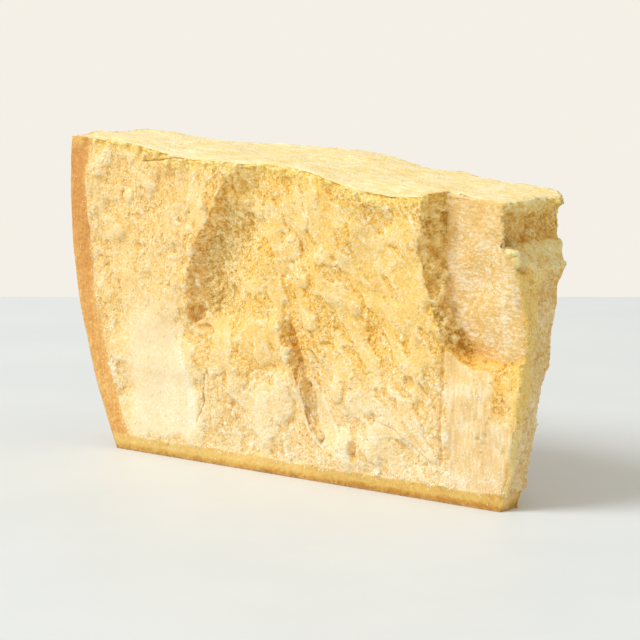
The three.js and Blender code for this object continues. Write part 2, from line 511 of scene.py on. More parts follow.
# Where the zones of the breaks begin and end, in mm. A pair is where a share starts to change and
# where it is done, and two rows are heights and the limit at each of them.
limits = {
    "top": (97, 101),
    "skin": (0.7, 1.5),           # depth behind the wall's face
    "end": (197, 204),
    "paleLeft": (24, 38),
    "paleFoot": (4, 10),
    "paleTop": (46, 78),
    "paleRight": ((7, 22, 33, 44, 54, 61, 76), (66.5, 67.1, 65.1, 60, 61.7, 62.8, 50)),
    "chalkFoot": (8, 14),
    "chalkTop": (40, 50),
    "footChalk": (184, 192),
    "footChalkLine": (10.2, 2.2),  # middle and width
    "cutFoot": (3, 7),
    "cutCorner": (203, 206),
    "cutCornerTop": (28, 34),
    "scoopWallRight": 203,
    "shelfRight": (207, 211),
    "edgeLine": (208, 0.7),       # middle and width
    "edgeLineFoot": (52, 58),
    "edgeLineTop": (96, 100),
    "bite": (90.6, 92.2),
    "biteFront": (2, 5),
    "ledge": (81, 83.5),
    "stripReach": ((0, 14.6, 38.4, 62, 75.5, 82, 84), (2.6, 3.6, 7.4, 13.8, 18.7, 21, 4)),
    "stripLeft": ((10, 20, 33, 43, 53, 70, 105), (209.5, 211.2, 213, 213.5, 211, 209, 206.5)),
    "fringe": (1.5, 8),           # depth under the top edge
    "fringeFoot": (90, 96),
    "sunkDepth": (1.8, 5.5),
    "sunkRight": (96, 108),
    "sunkFoot": (46, 54),
    "lipRight": (150, 170),
}


def findFaces(zone, points, normals, wander, ragged):
    # Top, wall, end, back and front, and the rind's band across the breaks
    x, y, z = points.T
    zone["wallDepth"] = wallDepth(points)
    zone["top"] = smooth(normals[:, 2], 0.5, 0.85) * smooth(z, *limits["top"])
    under = smooth(-normals[:, 2], 0.4, 0.8) * (z < cheese["flatFoot"])
    zone["outer"] = smooth(-normals[:, 0], 0.5, 0.85) * (1 - smooth(zone["wallDepth"], *limits["skin"]))
    zone["end"] = smooth(normals[:, 0], 0.35, 0.75) * smooth(x, *limits["end"]) * (1 - zone["top"])
    sides = (1 - zone["top"]) * (1 - under) * (1 - zone["outer"]) * (1 - zone["end"])
    zone["back"] = smooth(normals[:, 1], 0.0, 0.4) * sides
    zone["front"] = sides - zone["back"]
    insideRind = np.minimum(zone["wallDepth"] - cheese["wallRind"], z - cheese["footRind"])
    zone["rind"] = 1 - smooth(insideRind + 0.12 * wander, -0.6, 0.6)
    besideRind = lineAt(insideRind + 0.2 * ragged, 0.7, 1.1)
    zone["rindLine"] = (zone["front"] + zone["back"]) * besideRind


def findChalk(zone, points, wander, ragged):
    # The chalky smooth part at the lower left, with a ragged limit on its right, and chalky spots
    x, y, z = points.T
    front = zone["front"]
    right = np.interp(z, *limits["paleRight"])
    drift = 3.5 * noiseAt(points, 12, 3, 7)
    edge = x + 2.4 * ragged + 1.2 * wander
    pale = front * smooth(x + 1.5 * ragged + drift, *limits["paleLeft"])
    pale *= 1 - smooth(edge, right - 5, right + 1.5)
    low = smooth(z + wander, *limits["paleFoot"])
    zone["pale"] = pale * (low * (1 - smooth(z + 1.5 * ragged + drift, *limits["paleTop"])))
    chalk = 0.7 * front * lineAt(x + 0.6 * ragged - right, -2.4, 1.8)
    chalk *= smooth(z, *limits["chalkFoot"]) * (1 - smooth(z, *limits["chalkTop"]))
    foot = lineAt(z + 0.5 * ragged, *limits["footChalkLine"]) * smooth(x, *limits["footChalk"])
    chalk = np.maximum(chalk, front * foot)
    for middleX, middleZ, halfX, halfZ in chalkSpots:
        near = np.hypot((x + 0.5 * ragged - middleX) / halfX, (z + 0.5 * ragged - middleZ) / halfZ)
        chalk = np.maximum(chalk, 0.8 * front * (1 - smooth(near, 0.4, 1.2)))
    zone["chalk"] = chalk


def findScoop(zone, points, normals, wander, ragged):
    # The smooth part under the scoop, the shelf over its lower lip, its floor and its wall
    x, y, z = points.T
    front = zone["front"]
    past, above = x - scoopRim(z), z - scoopLow(x)
    rim = scoop["cutRim"][0] - scoop["cutRim"][1] * z
    cut = front * smooth(x + 0.3 * ragged, rim, rim + 2) * (1 - smooth(above, -0.6, 0.2))
    cut *= smooth(z, *limits["cutFoot"])
    cut *= 1 - smooth(x + ragged, *limits["cutCorner"]) * smooth(z + wander, *limits["cutCornerTop"])
    zone["cut"] = cut
    shelf = smooth(above, -0.2, 0.5) * (1 - smooth(above + 0.25 * ragged, 1.6, 2.9)) * smooth(past, 0, 3)
    zone["shelf"] = front * shelf * (1 - smooth(x, *limits["shelfRight"]))
    zone["scoop"] = front * smooth(past, 2.6, 4.6) * smooth(above, 1.4, 2.6) * (1 - zone["shelf"])
    wall = smooth(normals[:, 0], 0.3, 0.45) * smooth(past, -3, -1) * (1 - smooth(past, 5, 7))
    zone["scoopWall"] = wall * (smooth(above, 0, 3) * (x < limits["scoopWallRight"]))


def findEnd(zone, points, ragged):
    # The pale corner line, the end's bite and ledge, and the golden strip down the corner
    x, y, z = points.T
    line = zone["front"] * lineAt(x + 0.25 * ragged, *limits["edgeLine"])
    line *= smooth(z, *limits["edgeLineFoot"])
    zone["edgeLine"] = line * (1 - smooth(z, *limits["edgeLineTop"]))
    overLedge = smooth(z + 0.25 * ragged, *limits["bite"])
    zone["bite"] = zone["end"] * overLedge * smooth(y, *limits["biteFront"])
    zone["ledge"] = zone["end"] * smooth(z, *limits["ledge"]) * (1 - overLedge)
    reach = np.interp(z, *limits["stripReach"])
    begin = np.interp(z, *limits["stripLeft"])
    strip = smooth(x + 0.35 * ragged, begin - 1.2, begin + 1.2)
    strip *= 1 - smooth(y + 0.4 * ragged, reach - 1.6, reach + 1)
    zone["strip"] = strip * (1 - zone["top"])


def findHollows(zone, points, normals, wander, ragged):
    # The fringe under the top edge, the hollow, the walls that face right and the amber patch
    x, y, z = points.T
    front = zone["front"]
    fringe = front * (1 - smooth(topEdge(x) - z + wander, *limits["fringe"])) * (1 - zone["scoop"])
    zone["fringe"] = fringe * smooth(z, *limits["fringeFoot"])
    sunk = front * smooth(y + 0.8 * wander, *limits["sunkDepth"]) * (1 - smooth(x, *limits["sunkRight"]))
    zone["sunk"] = sunk * smooth(z, *limits["sunkFoot"])
    lip = front * smooth(normals[:, 0], 0.22, 0.5) * (1 - zone["scoopWall"])
    zone["lip"] = lip * (1 - smooth(x, *limits["lipRight"]))
    middleX, middleZ, halfX, halfZ = amberPatch
    near = np.hypot((x + 0.8 * ragged - middleX) / halfX, (z + ragged - middleZ) / halfZ)
    zone["amber"] = front * (1 - smooth(near, 0.6, 1.1))


def findZones(points, normals):
    # Shares from 0 to 1 that say what kind of surface each point is on
    wander = 2.6 * noiseAt(points, 9, 2, 5)
    ragged = 2.2 * noiseAt(points, 3, 2, 6)
    zone = {}
    findFaces(zone, points, normals, wander, ragged)
    findChalk(zone, points, wander, ragged)
    findScoop(zone, points, normals, wander, ragged)
    findEnd(zone, points, ragged)
    findHollows(zone, points, normals, wander, ragged)
    return zone


def tornWay(points):
    # Places stretched along the way the paste tore: upright on the left, down to the right elsewhere
    x, y, z = points.T
    share = smooth(x, 98, 130)
    fallen = z + 0.8 * (x - 115) * share
    return np.stack([x / (1 + 0.7 * share), y, fallen / (1.4 - 0.4 * share)], axis=1)


def domeAt(x, z, spot, drift):
    # Height of a lump with a crisp, uneven outline, and a share that is 1 inside it
    middleX, middleZ, halfX, halfZ, out = spot
    near = np.hypot((x - middleX) / halfX, (z - middleZ) / halfZ) + 0.35 * drift
    return out * np.sqrt(np.clip(1 - near ** 2, 0, 1)), 1 - smooth(near, 0.75, 1.02)


def tallest(across, z, spots, drift):
    # The highest of some lumps at each point, and a share that is 1 on them
    height, inside = np.zeros(len(z)), np.zeros(len(z))
    for spot in spots:
        spotHeight, spotInside = domeAt(across, z, spot, drift)
        height, inside = np.maximum(height, spotHeight), np.maximum(inside, spotInside)
    return height, inside


def dimpleAt(y, z, spot):
    # Depth of a soft dimple in the end
    middleY, middleZ, halfY, halfZ, deep = spot
    return deep * np.exp(-(((y - middleY) / halfY) ** 2 + ((z - middleZ) / halfZ) ** 2))


def crackAt(x, z, points):
    # Distance in mm to the crack's line
    gap = np.full(len(x), 99.0)
    for (startX, startZ), (endX, endZ) in zip(points, points[1:]):
        along = np.array([endX - startX, endZ - startZ])
        offset = np.stack([x - startX, z - startZ], axis=1)
        share = np.clip(offset @ along / (along @ along), 0, 1)
        gap = np.minimum(gap, np.hypot(*(offset - share[:, None] * along).T))
    return gap


def roundEdge(points, along, out, back, levels, radius):
    # Rounds the edge between the front break and another face. The edge runs along one axis, the
    # other face looks along out, and both faces fall away from the edge: one against out, one back.
    place = points[:, along]
    line = []
    for level in levels:
        band = points[np.abs(place - level) < 1.2]
        line.append(band[np.argmax(band[:, out] - band[:, back])])
    line = np.array(line)
    edgeOut, edgeBack = (np.interp(place, levels, line[:, axis]) for axis in (out, back))
    inward, behind = edgeOut - points[:, out], points[:, back] - edgeBack
    onFront = behind < inward
    run = np.where(onFront, inward, behind) / radius
    angle = math.pi / 4 * (1 - np.clip(run, 0, 1))
    near = (run < 1) & (np.minimum(inward, behind) < 1.2) & (place > levels[0]) & (place < levels[-1])
    far, deep = radius * (1 - np.sin(angle)), radius * (1 - np.cos(angle))
    moved = points.copy()
    moved[:, out] = np.where(near, edgeOut - np.where(onFront, far, deep), points[:, out])
    moved[:, back] = np.where(near, edgeBack + np.where(onFront, deep, far), points[:, back])
    return moved


def roundEdges(points):
    uprightRadius = cheese["cornerRadius"] * (1 + 0.3 * noiseAt(points * (0, 0, 1), 7, 2, 30))
    topRadius = cheese["topRadius"] * (1 + 0.5 * noiseAt(points * (1, 0, 0), 5, 2, 33))
    moved = roundEdge(points, 2, 0, 1, np.arange(1.5, 104, 2), uprightRadius)
    moved = roundEdge(moved, 0, 2, 1, np.arange(9, 208, 2), topRadius)
    upsideDown = np.array([1, 1, -1])
    moved = roundEdge(moved * upsideDown, 1, 0, 2, np.arange(5, 52, 2), cheese["endRadius"])
    return moved * upsideDown


# Relief of the end, in mm: pairs as in the limits
endRelief = {
    "biteFoot": (90.6, 93),
    "biteTop": (98, 106),
    "biteFront": (4, 9),
    "biteDepth": 1.6,
    "ledgeLine": (89.4, 2.2),     # middle and width
    "ledgeFront": (8, 12),
    "ledgeOut": 0.9,
    "grooveLine": (1.3, 0.22),    # around the first knob, in knob sizes
    "grooveDepth": 1.6,
    "cragsFoot": (90, 93),
    "cragsFront": (8, 16),
    "cragsOut": 1.9,
    "splitLine": (5.9, 0.5),
    "splitTop": (5.6, 7),
    "behindSplit": (5.6, 6.4),    # the foot steps back behind its split
    "footTop": (5.4, 6.4),
    "footDepth": 1.1,
}


def shapeEnd(points, zone):
    # The end's bite, ledge, knobs and split foot, as heights along the surface
    y, z = points[:, 1], points[:, 2]
    size = endRelief
    drift = noiseAt(points, 3.5, 2, 31)
    hollowed = smooth(z, *size["biteFoot"]) * (1 - smooth(z, *size["biteTop"]))
    hollowed *= smooth(y, *size["biteFront"])
    ledge = lineAt(z, *size["ledgeLine"]) * smooth(y, *size["ledgeFront"])
    knob, onKnob = tallest(y, z, endKnobs, drift)
    middleY, middleZ, halfY, halfZ = endKnobs[0][:4]
    around = np.hypot((y - middleY) / halfY, (z - middleZ) / halfZ)
    groove = lineAt(around, *size["grooveLine"]) * smooth(y + z, 88, 92) * (1 - onKnob)
    knob -= size["grooveDepth"] * groove
    cavity, spot = dimpleAt(y, z, endCavity), dimpleAt(y, z, endSpot)
    crags = size["cragsOut"] * noiseAt(points, 4.2, 3, 32, stretch=(1, 1, 1.6))
    crags = crags * smooth(z, *size["cragsFoot"]) * smooth(y, *size["cragsFront"])
    foot = size["footDepth"] * smooth(y, *size["behindSplit"]) * (1 - smooth(z, *size["footTop"]))
    rim = smooth(z, 90, 92) * zone["end"]
    torn = within(rim, flakes, points, 3.0, 34) * 0.7 + within(rim, grains, points, 1.5, 35) * 0.5
    onLedge = zone["ledge"] * (1 - 0.4 * onKnob)
    tornLedge = within(onLedge, flakes, points, 2.6, 36) * 0.6
    torn += tornLedge + within(onLedge, grains, points, 1.4, 37) * 0.4
    # Painted shade: amber in the end's cavity below the knobs; the small spot is an amber mark
    zone["spot"] = 0.6 * zone["end"] * smooth(np.maximum(cavity, spot * 4), 0.1, 1.0)
    # Painted shade: the bite's inner corner and the groove around the knob are darkened
    shadowed = 0.9 * dimpleAt(y, z, biteCorner) + 0.7 * groove
    zone["deep"] = zone["end"] * np.clip(shadowed, 0, 1)
    zone["knob"] = zone["end"] * onKnob
    # Painted shade: amber along the step of the foot's split
    zone["split"] = zone["end"] * lineAt(y, *size["splitLine"]) * (1 - smooth(z, *size["splitTop"]))
    out = size["ledgeOut"] * ledge + knob - size["biteDepth"] * hollowed - cavity - spot + crags - foot
    return zone["end"] * out + torn, torn


# How far the upright corner beside the bite stands further out: heights, then mm out at each
besideBite = ((90, 92.5, 99, 104), (0, 2.2, 2.0, 0))


def shapeCheese(points, normals, zone):
    x, y, z = points.T
    section = zone["front"] + zone["back"] + zone["end"]
    calm = np.maximum.reduce([
        zone["pale"] * 0.88,
        zone["cut"] * 0.88,
        zone["scoop"] * 0.78,
        zone["strip"] * 0.85,
        zone["scoopWall"] * 0.55,
    ])
    rough = section * (1 - calm) * (1 - 0.94 * zone["rind"]) * mix(1, 0.62, zone["end"])
    drift = driftAt(points, 4.2)
    warped = points + 1.7 * drift + 0.5 * driftAt(points, 1.6)
    torn = tornWay(warped)
    plateau = smooth(noiseAt(torn, 9, 2, 1), -0.06, 0.1) * mix(1, 0.6, (x < 62) * zone["front"])
    plateau *= 1 - 0.9 * np.maximum.reduce([zone["sunk"], zone["lip"], zone["fringe"]])
    lumpy, onLump = tallest(x, z, lumps, drift[:, 1])
    onLump *= zone["front"]
    pitted = tallest(x, z, pits, 0.7 * drift[:, 1])[0]
    plateau = np.maximum(plateau, onLump)
    zone["plateau"] = plateau
    layers = [
        ("bigFlake", flakes, torn, 1),
        ("smallFlake", flakes, torn, 6),
        ("bigGrain", grains, warped, 11),
        ("fineGrain", grains, warped, 15),
    ]
    fine = cheese["step"] * (plateau - 0.5)
    for name, kind, places, layer in layers:
        size, grainy, flat = cheese[name]
        lift = mix(grainy, flat, plateau) * kind(places, size, layer)
        fine = fine + lift * mix(1, 0.35, onLump)
    relief = fine * rough + zone["front"] * (0.68 * lumpy - pitted)
    # Fibres that the blade drew along the top, and fine wear on the rind
    fibres = noiseAt(points, 1.0, 3, 3, stretch=(9, 1.3, 4))
    relief += zone["top"] * (0.42 * fibres + 0.2 * flakes(warped, 3.0, 19))
    relief += 0.1 * noiseAt(points, 2.2, 2, 4) * np.maximum(zone["outer"], zone["rind"] * section)
    # Curds across the scoop's wall, streaks on its floor and pits over its lower lip
    wallLift = 1.9 * within(zone["scoopWall"], grains, warped, 5.0, 22)
    wallLift += 0.9 * within(zone["scoopWall"], flakes, warped, 2.6, 23)
    wallLift += 0.4 * within(zone["scoopWall"], grains, warped, 1.5, 24)
    lipFlakes = 1.1 * within(zone["lip"], flakes, warped, 3.2, 25)
    wallLift += lipFlakes + 0.5 * within(zone["lip"], grains, warped, 1.5, 26)
    wallLift *= 1 - 0.8 * smooth(z - topEdge(x), -8, -2)
    wallLift += 0.8 * within(zone["fringe"], flakes, points, 3.4, 27)
    relief += wallLift
    relief += zone["scoop"] * 0.2 * noiseAt(points + 0.9 * drift, 1.0, 3, 8, stretch=(2.6, 2.6, 0.9))
    relief += zone["shelf"] * (0.5 * noiseAt(points, 1.0, 2, 9, stretch=(1.0, 1, 3)) - 0.2)
    relief += zone["end"] * 0.25 * noiseAt(points, 1.0, 3, 10, stretch=(1.4, 1.4, 3))
    endLift, endTorn = shapeEnd(points, zone)
    relief += endLift
    for trail, width, depth, dark in cracks:
        gap = crackAt(x + 0.5 * drift[:, 0], z + 0.5 * drift[:, 2], trail)
        relief -= depth * zone["front"] * (1 - smooth(gap, 0.4 * width, width + 0.4))
    # Lighter on the smooth lumps; darker in the pits, painted shade
    paleLumpsPitShade = 0.3 * smooth(onLump, 0.3, 1) - 1.0 * pitted
    shown = fine * rough / 0.5 + wallLift / 1.2 + endTorn / 0.6 - 0.1 * section * (plateau - 0.5)
    zone["recess"] = np.clip(shown + paleLumpsPitShade * zone["front"], -1.7, 1.4)
    moved = roundEdges(points) + normals * (relief - cheese["inward"])[:, None]
    # The fissure is a little shallower than the solid's
    shallow = 1 - smooth(crackAt(x, z, fissure), 3, 7)
    moved[:, 1] -= 0.4 * shallow * zone["front"] * np.clip(y, 0, 4)
    # The upright corner beside the bite stands further out
    beside = lineAt(np.clip(y - 3, 0, None), 0, 3) * smooth(x, 198, 204)
    moved[:, 0] += beside * np.interp(z, *besideBite)
    moved += 0.3 * drift * (rough * (1 - zone["rind"]))[:, None]
    onFoot = (z < cheese["flatFoot"]) & (normals[:, 2] < -0.5)
    moved[:, 2] = np.where(onFoot, 0, moved[:, 2])
    margin = cheese["margin"]
    return np.clip(moved, boxLow + (margin, margin, 0), boxHigh - margin)


def ridgeAt(mesh, points, normals):
    # How far each point stands out of its neighbours, about -1 to 1
    ends = readArray(mesh.edges, "vertices", 2, np.int32)
    first, second = ends.T
    count = np.bincount(ends.ravel(), minlength=len(points))
    total = []
    for axis in range(3):
        fromFirst = np.bincount(first, points[second, axis], len(points))
        total.append(fromFirst + np.bincount(second, points[first, axis], len(points)))
    offset = points - np.stack(total, axis=1) / count[:, None]
    return np.clip((offset * normals).sum(axis=1) / cheese["ridge"], -1.5, 1.5)


def makeCheese():
    mesh = cadWedge.data.copy()
    mesh.materials.clear()
    body = bpy.data.objects.new("cheeseBody", mesh)
    bpy.context.scene.collection.objects.link(body)
    bpy.ops.object.select_all(action="DESELECT")
    body.select_set(True)
    bpy.context.view_layer.objects.active = body
    bpy.ops.object.mode_set(mode="EDIT")
    bpy.ops.mesh.select_all(action="SELECT")
    bpy.ops.mesh.remove_doubles(threshold=1e-6)
    bpy.ops.mesh.tris_convert_to_quads(face_threshold=math.pi, shape_threshold=math.pi)
    bpy.ops.mesh.select_all(action="DESELECT")
    bpy.ops.mesh.edges_select_sharp(sharpness=math.radians(cheese["sharp"]))
    bpy.ops.transform.edge_crease(value=cheese["crease"])  # keeps edges crisp under the subdivision
    bpy.ops.object.mode_set(mode="OBJECT")
    levels = cheese["levels"]
    finer = body.modifiers.new("finer", "SUBSURF")
    finer.levels = finer.render_levels = levels
    bpy.ops.object.modifier_apply(modifier=finer.name)
    print("cheese subdivided:", len(body.data.polygons), "faces")
    points, normals = readMesh(body.data)
    zone = findZones(points, normals)
    moved = shapeCheese(points, normals, zone)
    zone["ridge"] = ridgeAt(body.data, moved, normals)
    body.data.vertices.foreach_set("co", ((moved + corner) * mm).astype(np.float32).ravel())
    for name in zone:
        store(body.data, name, zone[name])
    body.data.update()
    print("relief ready")
    triangles = sum(len(face.vertices) - 2 for face in body.data.polygons)
    if triangles > cheese["triangles"]:
        fewer = body.modifiers.new("fewer", "DECIMATE")
        fewer.ratio = cheese["triangles"] / triangles
        bpy.ops.object.modifier_apply(modifier=fewer.name)
    bpy.ops.object.shade_smooth()
    print("cheese body ready:", len(body.data.polygons), "faces")
    return body


# Crumbs that cling to the breaks: each kind is a few shapes copied many times into one mesh

curds = {
    "name": "curds",
    "seed": 4,
    "count": 2000,
    "fineness": 2,
    "sizes": (0.6, 1.5),
    "tall": 0.4,
    "sink": 0.22,
    "rough": 0.28,
}
granules = {
    "name": "granules",
    "seed": 5,
    "count": 9500,
    "fineness": 1,
    "sizes": (0.26, 0.6),
    "tall": 0.7,
    "sink": 0.16,
    "rough": 0.26,
}
# White crystals, partly painted glints: near-white specks that also stand in for sparkles
crystalsAndGlints = {
    "name": "crystalsAndGlints",
    "seed": 6,
    "count": 4200,
    "fineness": 1,
    "sizes": (0.16, 0.42),
    "tall": 0.6,
    "sink": 0.05,
    "rough": 0.22,
}
shapesPerKind = 4
crumbFoot = 0.2  # mm that crumbs stay above the floor


def modelCrumb(kind, number):
    bpy.ops.object.select_all(action="DESELECT")
    bpy.ops.mesh.primitive_ico_sphere_add(subdivisions=kind["fineness"], radius=1)
    sample = bpy.context.object
    bpy.ops.object.mode_set(mode="EDIT")
    bpy.ops.mesh.select_all(action="SELECT")
    bpy.ops.transform.vertex_random(offset=kind["rough"], seed=10 * kind["seed"] + number)
    bpy.ops.object.mode_set(mode="OBJECT")
    corners = np.array([v.co for v in sample.data.vertices])
    faces = np.array([face.vertices for face in sample.data.polygons])
    mesh = sample.data
    bpy.data.objects.remove(sample)
    bpy.data.meshes.remove(mesh)
    return corners, faces


def readHosts(body):
    # Middle, normal, area and zone shares of each face of the body, for crumbs to sit on
    mesh = body.data
    firstLoops = readArray(mesh.polygons, "loop_start", 1, np.int32)
    loopPoints = readArray(mesh.loops, "vertex_index", 1, np.int32)
    hosts = {
        "place": readArray(mesh.polygons, "center").astype(float) / mm - corner,
        "normal": readArray(mesh.polygons, "normal").astype(float),
        "area": readArray(mesh.polygons, "area", 1).astype(float),
    }
    for layer in mesh.attributes:
        if layer.data_type == "FLOAT" and layer.domain == "POINT":
            values = readArray(layer.data, "value", 1)
            hosts[layer.name] = values[loopPoints[firstLoops]].astype(float)
    return hosts


def insideBox(points):
    return (points.min(axis=0) > boxLow).all() and (points.max(axis=0) < boxHigh).all()


def scatterCrumbs(kind, hosts, share):
    random = np.random.default_rng(kind["seed"])
    weights = hosts["area"] * share
    count = kind["count"]
    chosen = random.choice(len(weights), count, p=weights / weights.sum())
    out = hosts["normal"][chosen]
    helper = np.where(np.abs(out[:, 2:]) < 0.8, (0.0, 0.0, 1.0), (1.0, 0.0, 0.0))
    side = np.cross(out, helper)
    side /= np.linalg.norm(side, axis=1)[:, None]
    other = np.cross(out, side)
    spin = random.uniform(0, 2 * math.pi, count)[:, None]
    side, other = side * np.cos(spin) + other * np.sin(spin), other * np.cos(spin) - side * np.sin(spin)
    low, high = kind["sizes"]
    size = low * (high / low) ** (random.uniform(0, 1, count) ** 1.6)
    widths = size[:, None] * random.uniform(0.72, 1.15, (count, 2))
    tall = size * kind["tall"] * random.uniform(0.8, 1.2, count)
    places = hosts["place"][chosen] + side * random.uniform(-0.4, 0.4, count)[:, None]
    places -= out * (kind["sink"] * size)[:, None]
    own = random.uniform(-1, 1, count)
    shapes = [modelCrumb(kind, number) for number in range(shapesPerKind)]
    corners, faces, hostOf, heights, total = [], [], [], [], 0
    for n in range(count):
        shape, triangles = shapes[n % shapesPerKind]
        stretched = shape * (widths[n, 0], widths[n, 1], tall[n])
        placed = places[n] + stretched @ np.stack([side[n], other[n], out[n]])
        if placed[:, 2].min() < crumbFoot or not insideBox(placed):
            continue
        corners.append(placed)
        faces.append(triangles + total)
        hostOf.append(np.full(len(shape), n))
        heights.append(shape[:, 2])
        total += len(shape)
    corners, faces, hostOf = np.concatenate(corners), np.concatenate(faces), np.concatenate(hostOf)
    mesh = bpy.data.meshes.new(kind["name"])
    mesh.from_pydata(((corners + corner) * mm).tolist(), [], faces.tolist())
    for name in hosts:
        if name not in ("place", "normal", "area", "recess", "ridge"):
            store(mesh, name, hosts[name][chosen][hostOf])
    heights = np.concatenate(heights)
    store(mesh, "recess", 0.1 + 0.35 * own[hostOf] + 0.5 * hosts["recess"][chosen][hostOf])
    # Painted light and shade: each crumb is lighter on top and darker at its foot
    store(mesh, "ridge", 1.1 * heights - 0.1)
    piece = bpy.data.objects.new(kind["name"], mesh)
    bpy.context.scene.collection.objects.link(piece)
    bpy.ops.object.select_all(action="DESELECT")
    piece.select_set(True)
    bpy.context.view_layer.objects.active = piece
    bpy.ops.object.shade_smooth()
    print(kind["name"], "ready:", len(faces), "faces")
    return piece


# Materials: the paste and rind, and the white crystals, which are partly painted glints

def crackShadeShare(tree, place):
    # Painted shade: fine dark lines along the cracks' points
    flatPlace = vectors(tree, "MULTIPLY", place, (1, 0, 1)).outputs[0]
    darkest = None
    for trail, width, depth, dark in cracks:
        for start, end in zip(trail, trail[1:]):
            begin = np.array(fromCorner((start[0], 0, start[1]))) * (1, 0, 1)
            along = np.array(fromCorner((end[0], 0, end[1]))) * (1, 0, 1) - begin
            offset = vectors(tree, "SUBTRACT", flatPlace, tuple(begin)).outputs[0]
            share = vectors(tree, "DOT_PRODUCT", offset, tuple(along / (along @ along))).outputs["Value"]
            share = calc(tree, "MULTIPLY", share, 1.0, clamp=True)
            gap = vectors(tree, "DISTANCE", offset, resized(tree, tuple(along), share)).outputs["Value"]
            line = step(tree, gap, 0.25 * width * mm, width * mm, dark, 0)
            darkest = line if darkest is None else calc(tree, "MAXIMUM", darkest, line)
    return times(tree, darkest, attribute(tree, "front"))


zoneNames = [
    "recess", "ridge", "plateau", "wallDepth", "outer", "rindLine", "pale", "chalk", "cut",
    "scoop", "scoopWall", "shelf", "strip", "fringe", "sunk", "amber", "edgeLine", "top", "end",
    "bite", "ledge", "spot", "split", "deep", "knob",
]

# How a zone changes the paste's tone: its middle, then how much of the speckle is left. The low middles
# of the scoop's wall and the bite are painted shade, the high middle of the ledge is painted light.
zoneTones = [
    ("pale", 0.6, 0.6),
    ("cut", 0.62, 0.5),
    ("top", 0.68, 0.4),
    ("scoopWall", 0.44, 0.85),
    ("chalk", 0.88, 0.7),
    ("fringe", 0.52, 0.8),
    ("end", 0.56, 0.8),
    ("bite", 0.36, 0.8),
    ("ledge", 0.72, 0.9),
    ("strip", 0.52, 1.0),
    ("amber", 0.24, 0.8),
    ("knob", 0.68, 0.8),
]

# Between which heights in metres, or places in mm along the break, the shades change
shadeLimits = {
    "biteRoll": (0.098, 0.1055),
    "lower": (0.02, 0.055),
    "scoopFade": (0.088, 0.102),
    "footEdge": (0.0008, 0.0034),
    "wallLow": (0.04, 0.09),
    "wallTop": (0.1125, 0.118),
    "underside": (0.0002, 0.0009),
    "creamyLeft": (55, 90),
    "farSide": 200,
}


def readSurface(tree):
    # The zones, places and noises that the shades are worked out from
    look = {name: attribute(tree, name) for name in zoneNames}
    place = addNode(tree, "ShaderNodeTexCoord").outputs["Object"]
    parts = addNode(tree, "ShaderNodeSeparateXYZ", {0: place})
    waveInputs = {"Vector": place, "Scale": 1 / (2.2 * mm), "Detail": 2.0}
    waves = addNode(tree, "ShaderNodeTexNoise", waveInputs).outputs["Color"]
    wavy = vectors(tree, "SUBTRACT", waves, (0.5, 0.5, 0.5)).outputs[0]
    warped = vectors(tree, "ADD", place, resized(tree, wavy, 1.6 * mm)).outputs[0]
    height = parts.outputs["Z"]
    look["place"], look["warped"] = place, warped
    look["across"], look["height"] = parts.outputs["X"], height
    look["patch"] = grainNoise(tree, place, 9, 3)
    look["medium"] = grainNoise(tree, place, 2.6, 4, 0.62)
    look["fine"] = grainNoise(tree, place, 0.7, 2, 0.6)
    look["bigCells"] = cellTone(tree, warped, 2.6)
    look["smallCells"] = cellTone(tree, warped, 1.0)
    look["rolled"] = step(tree, height, *shadeLimits["biteRoll"], 0.0, 0.3)
    look["lower"] = step(tree, height, *shadeLimits["lower"], 1.0, 0.0)
    return look


def findTone(tree, look):
    # Low in the recesses, high on the raised grains: partly the grains' own colour, partly painted shade
    # in the recesses and creases and painted highlight on the ridges
    speckle = add(
        tree,
        scaled(tree, look["medium"], 0.5, 0.5),
        scaled(tree, look["fine"], 0.5, 1.5),
        scaled(tree, look["bigCells"], 0.5, 0.12),
        scaled(tree, look["smallCells"], 0.5, 0.26),
        # Painted highlight on the ridges, painted shade in the creases
        times(tree, look["ridge"], 0.12),
    )
    own = add(
        tree,
        times(tree, look["recess"], 0.13),
        scaled(tree, look["patch"], 0.5, 0.34),
        times(tree, speckle, step(tree, look["plateau"], 0, 1, 1.0, 0.62)),
    )
    tone = add(tree, 0.5, own)
    for name, middle, spread in zoneTones:
        tone = blendValues(tree, look[name], tone, calc(tree, "MULTIPLY_ADD", own, spread, middle))
    # The shelf behind the scoop's lower lip is darkened as painted shade; the hollow, the bite's top and
    # the lower part are lightened
    for name, factor in (("sunk", 0.02), ("shelf", -0.12), ("bite", look["rolled"]), ("lower", 0.1)):
        tone = calc(tree, "MULTIPLY_ADD", look[name], factor, tone)
    return tone


